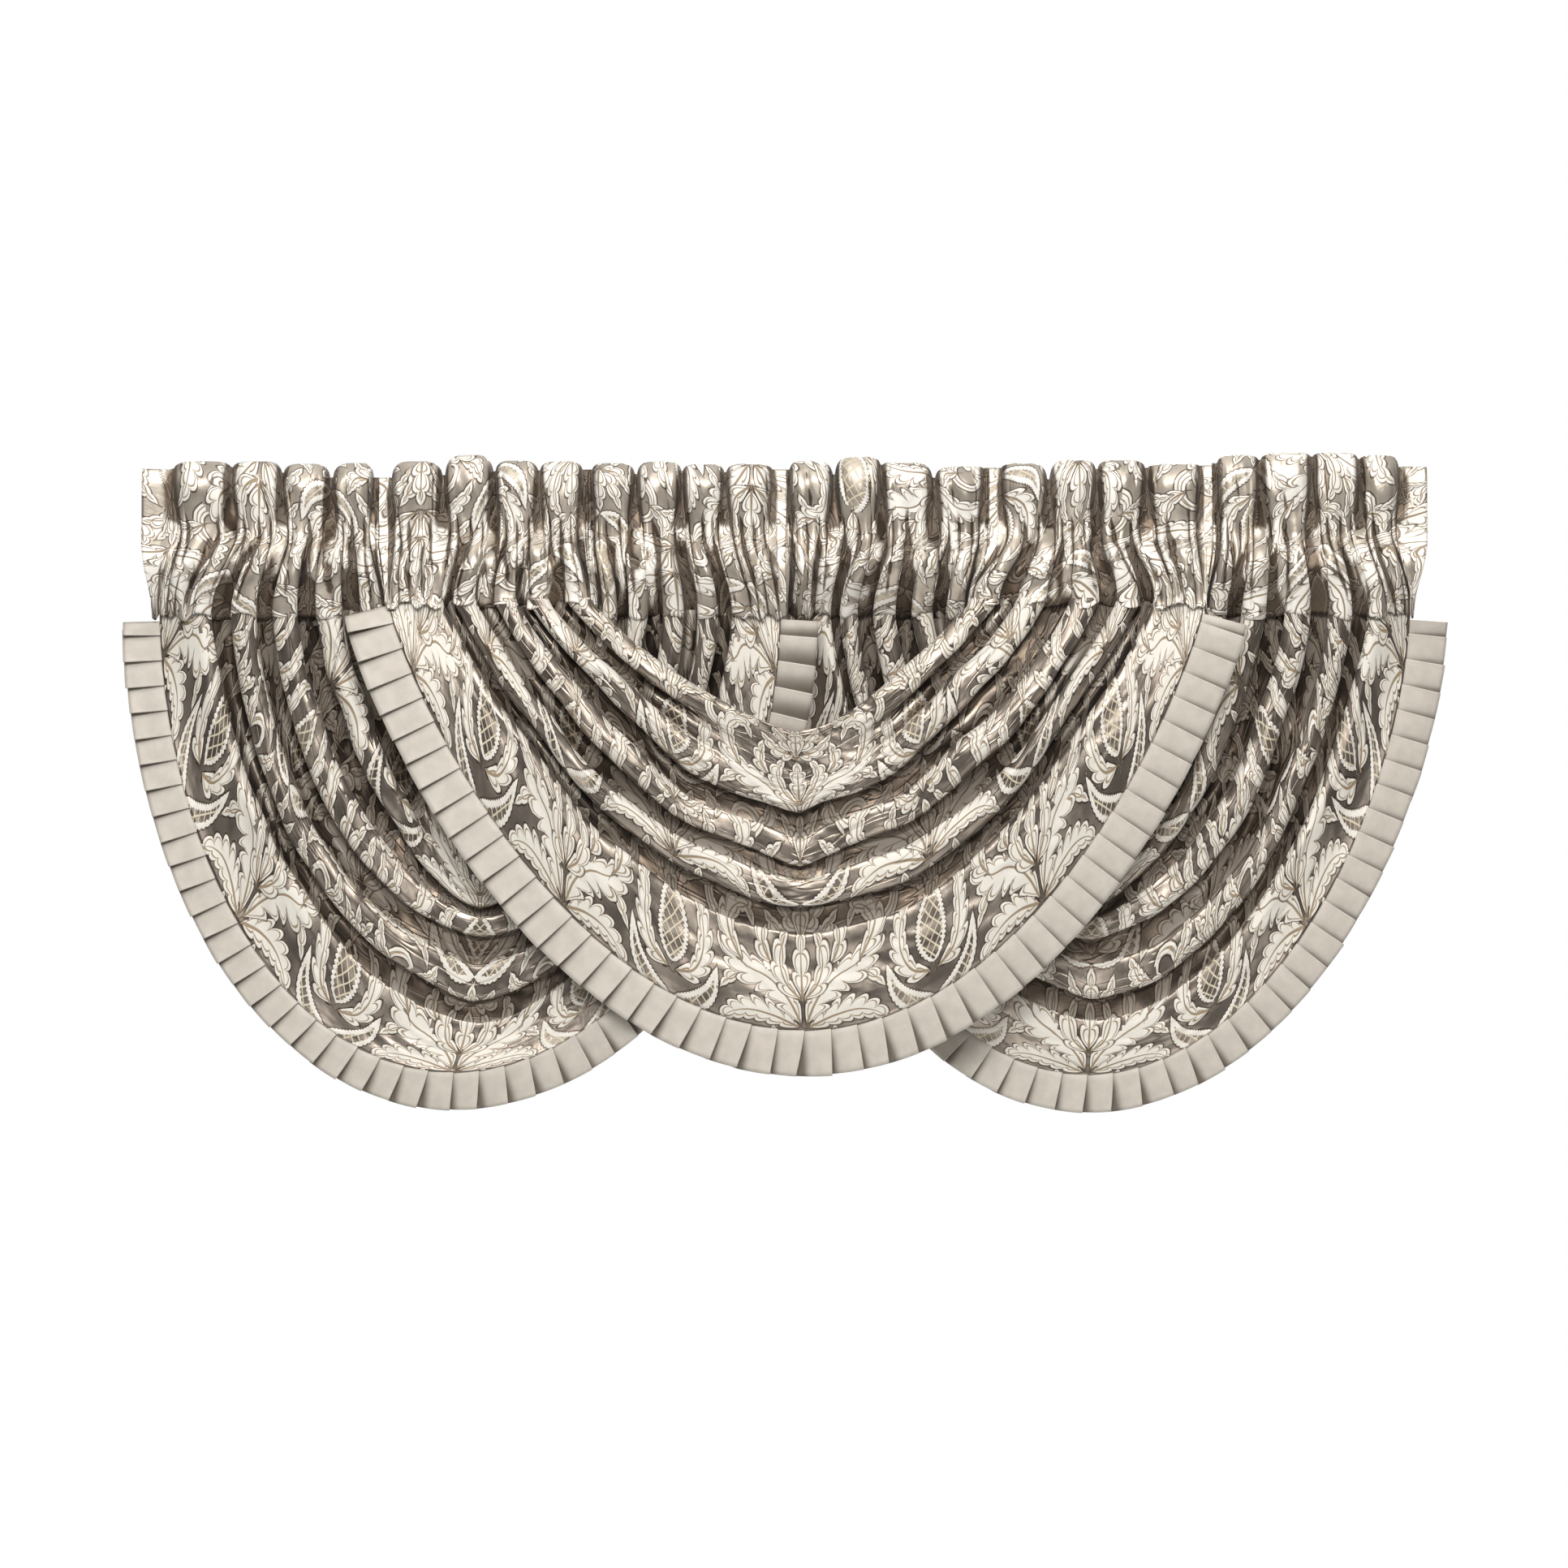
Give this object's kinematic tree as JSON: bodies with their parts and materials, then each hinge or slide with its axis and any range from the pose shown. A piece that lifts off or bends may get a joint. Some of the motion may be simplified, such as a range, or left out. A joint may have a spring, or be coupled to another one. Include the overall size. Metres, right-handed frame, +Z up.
{
  "type": "waterfall valance",
  "caption": "Row of overlapping waterfall valances: open swags of ivory-on-taupe damask hanging in U-shaped folds from gathered rod-pocket headings, edged with knife-pleated satin ribbon.",
  "frame": {"origin": "on the axis of the hidden rod that runs through the pockets, midway along the row", "axes": "+X along the rod to the right as seen from the room, +Y away from the room towards the window, +Z up"},
  "size_m": [1.6391, 0.0962, 0.8181],
  "materials": {
    "damask": "satin",
    "ribbon": "satin"
  },
  "bodies": {
    "root": {"left_body": "damask", "left_heading_left": "damask", "left_heading_right": "damask", "left_trim": "ribbon", "centre_body": "damask", "centre_heading_left": "damask", "centre_heading_right": "damask", "centre_trim": "ribbon", "right_body": "damask", "right_heading_left": "damask", "right_heading_right": "damask", "right_trim": "ribbon"}
  },
  "joints": []
}
